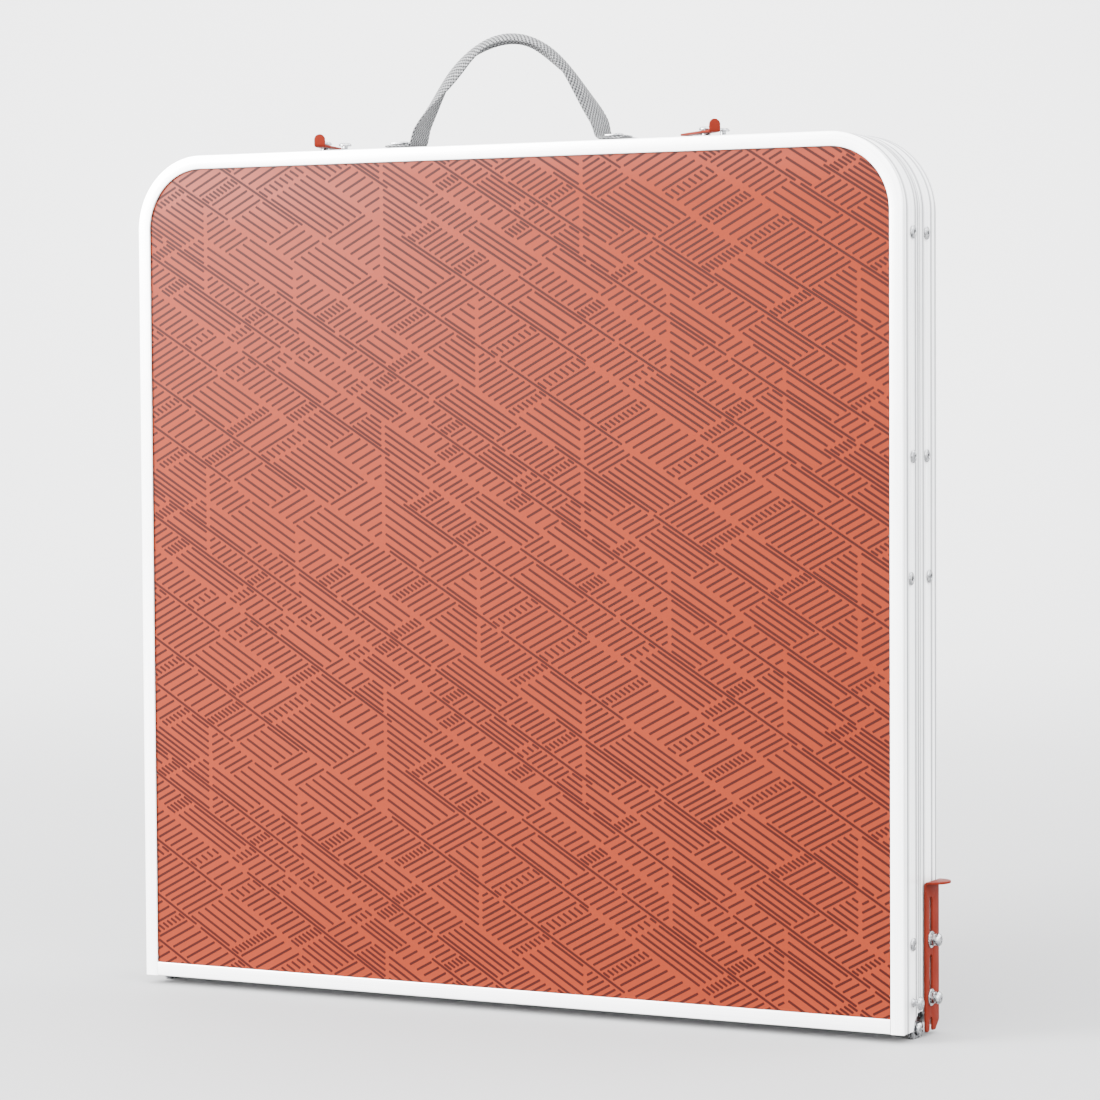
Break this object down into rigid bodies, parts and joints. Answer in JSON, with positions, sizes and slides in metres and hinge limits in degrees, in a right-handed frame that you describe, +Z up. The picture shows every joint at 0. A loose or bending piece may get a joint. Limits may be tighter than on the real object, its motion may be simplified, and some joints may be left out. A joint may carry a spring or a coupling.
{
  "type": "folding table",
  "caption": "Suitcase folding camping table, folded: two printed boards in white aluminium edge rails, telescopic legs inside, side slide locks, top latches and a webbing carrying strap.",
  "frame": {"origin": "middle of the folded table's footprint, on the surface that it stands on", "axes": "+X along the hinge line, +Y from half a (front printed face at -Y) to half b, +Z up from the hinge line to the carrying strap"},
  "size_m": [0.629, 0.06, 0.6798],
  "materials": {
    "white_aluminium": "satin white coating on extruded aluminium",
    "printed_board": "satin melamine print, terracotta with darker hatching",
    "leg_aluminium": "satin",
    "zinc_steel": "bright zinc plate",
    "red_steel": "satin terracotta powder coat",
    "webbing": "woven",
    "black_plastic": "matte"
  },
  "bodies": {
    "leg_frame_a": {"leg_crossbar_a": "leg_aluminium", "leg_tube_a_left": "leg_aluminium", "leg_tube_a_right": "leg_aluminium"},
    "half_a": {"edge_rail_a": "white_aluminium", "hinge_rail_a": "white_aluminium", "board_a": "printed_board", "batten_a": "leg_aluminium", "hinge_ear_a_left": "zinc_steel", "leg_pivot_a_left": "zinc_steel", "brace_pivot_a_left": "zinc_steel", "batten_rivet_a_left": "zinc_steel", "hinge_ear_a_right": "zinc_steel", "leg_pivot_a_right": "zinc_steel", "brace_pivot_a_right": "zinc_steel", "batten_rivet_a_right": "zinc_steel", "hinge_bolt_left": "zinc_steel", "catch_stud_left": "zinc_steel", "latch_pivot_left": "zinc_steel", "strap_clamp_left": "zinc_steel", "hinge_bolt_right": "zinc_steel", "catch_stud_right": "zinc_steel", "latch_pivot_right": "zinc_steel", "strap_clamp_right": "zinc_steel", "strap": "webbing"},
    "half_b": {"edge_rail_b": "white_aluminium", "hinge_rail_b": "white_aluminium", "board_b": "printed_board", "batten_b": "leg_aluminium", "hinge_ear_b_left": "zinc_steel", "leg_pivot_b_left": "zinc_steel", "brace_pivot_b_left": "zinc_steel", "batten_rivet_b_left": "zinc_steel", "hinge_ear_b_right": "zinc_steel", "leg_pivot_b_right": "zinc_steel", "brace_pivot_b_right": "zinc_steel", "batten_rivet_b_right": "zinc_steel", "latch_catch_left": "zinc_steel", "lock_bolt_lower_left": "zinc_steel", "lock_bolt_upper_left": "zinc_steel", "latch_catch_right": "zinc_steel", "lock_bolt_lower_right": "zinc_steel", "lock_bolt_upper_right": "zinc_steel"},
    "leg_frame_b": {"leg_crossbar_b": "leg_aluminium", "leg_tube_b_left": "leg_aluminium", "leg_tube_b_right": "leg_aluminium"},
    "brace_a": {"wire_brace_a": "zinc_steel"},
    "lower_leg_a_left": {"inner_leg_a_left": "leg_aluminium", "foot_a_left": "black_plastic"},
    "lower_leg_a_right": {"inner_leg_a_right": "leg_aluminium", "foot_a_right": "black_plastic"},
    "brace_b": {"wire_brace_b": "zinc_steel"},
    "lower_leg_b_left": {"inner_leg_b_left": "leg_aluminium", "foot_b_left": "black_plastic"},
    "lower_leg_b_right": {"inner_leg_b_right": "leg_aluminium", "foot_b_right": "black_plastic"},
    "lock_left": {"slide_lock_left": "red_steel"},
    "latch_arm_left": {"latch_left": "red_steel"},
    "lock_right": {"slide_lock_right": "red_steel"},
    "latch_arm_right": {"latch_right": "red_steel"}
  },
  "joints": [
    {"name": "fold", "type": "hinge", "parent": "half_a", "child": "half_b", "pos_m": [0, 0, 0.0062], "axis": [-1, 0, 0], "range_deg": [0, 180]},
    {"name": "half_a_swing", "type": "hinge", "parent": "leg_frame_a", "child": "half_a", "pos_m": [0, -0.012, 0.539], "axis": [-1, 0, 0], "range_deg": [0, 90]},
    {"name": "legs_b_swing", "type": "hinge", "parent": "half_b", "child": "leg_frame_b", "pos_m": [0, 0.012, 0.539], "axis": [-1, 0, 0], "range_deg": [0, 90]},
    {"name": "brace_a_swing", "type": "hinge", "parent": "half_a", "child": "brace_a", "pos_m": [0, -0.012, 0.3905], "axis": [-1, 0, 0], "range_deg": [0, 33]},
    {"name": "brace_b_swing", "type": "hinge", "parent": "half_b", "child": "brace_b", "pos_m": [0, 0.012, 0.3905], "axis": [1, 0, 0], "range_deg": [0, 33]},
    {"name": "leg_slide_a_left", "type": "slide", "parent": "leg_frame_a", "child": "lower_leg_a_left", "axis": [0, 0, -1], "range_m": [0, 0.1785]},
    {"name": "leg_slide_a_right", "type": "slide", "parent": "leg_frame_a", "child": "lower_leg_a_right", "axis": [0, 0, -1], "range_m": [0, 0.1785]},
    {"name": "leg_slide_b_left", "type": "slide", "parent": "leg_frame_b", "child": "lower_leg_b_left", "axis": [0, 0, -1], "range_m": [0, 0.1785]},
    {"name": "leg_slide_b_right", "type": "slide", "parent": "leg_frame_b", "child": "lower_leg_b_right", "axis": [0, 0, -1], "range_m": [0, 0.1785]},
    {"name": "lock_slide_left", "type": "slide", "parent": "half_b", "child": "lock_left", "axis": [0, 0, -1], "range_m": [0, 0.0232]},
    {"name": "lock_slide_right", "type": "slide", "parent": "half_b", "child": "lock_right", "axis": [0, 0, -1], "range_m": [0, 0.0232]},
    {"name": "latch_turn_left", "type": "hinge", "parent": "half_a", "child": "latch_arm_left", "pos_m": [-0.15, -0.014, 0.61], "axis": [0, 0, 1], "range_deg": [-15, 75]},
    {"name": "latch_turn_right", "type": "hinge", "parent": "half_a", "child": "latch_arm_right", "pos_m": [0.15, -0.014, 0.61], "axis": [0, 0, 1], "range_deg": [-49, 41]}
  ],
  "couplings": [
    {"joint": "half_a_swing", "follows": "fold", "ratio": 0.5},
    {"joint": "legs_b_swing", "follows": "fold", "ratio": 0.5},
    {"joint": "brace_a_swing", "follows": "fold", "ratio": 0.1833},
    {"joint": "brace_b_swing", "follows": "fold", "ratio": 0.1833},
    {"joint": "leg_slide_a_left", "follows": "fold", "m_per_rad": 0.0568},
    {"joint": "leg_slide_a_right", "follows": "fold", "m_per_rad": 0.0568},
    {"joint": "leg_slide_b_left", "follows": "fold", "m_per_rad": 0.0568},
    {"joint": "leg_slide_b_right", "follows": "fold", "m_per_rad": 0.0568}
  ]
}
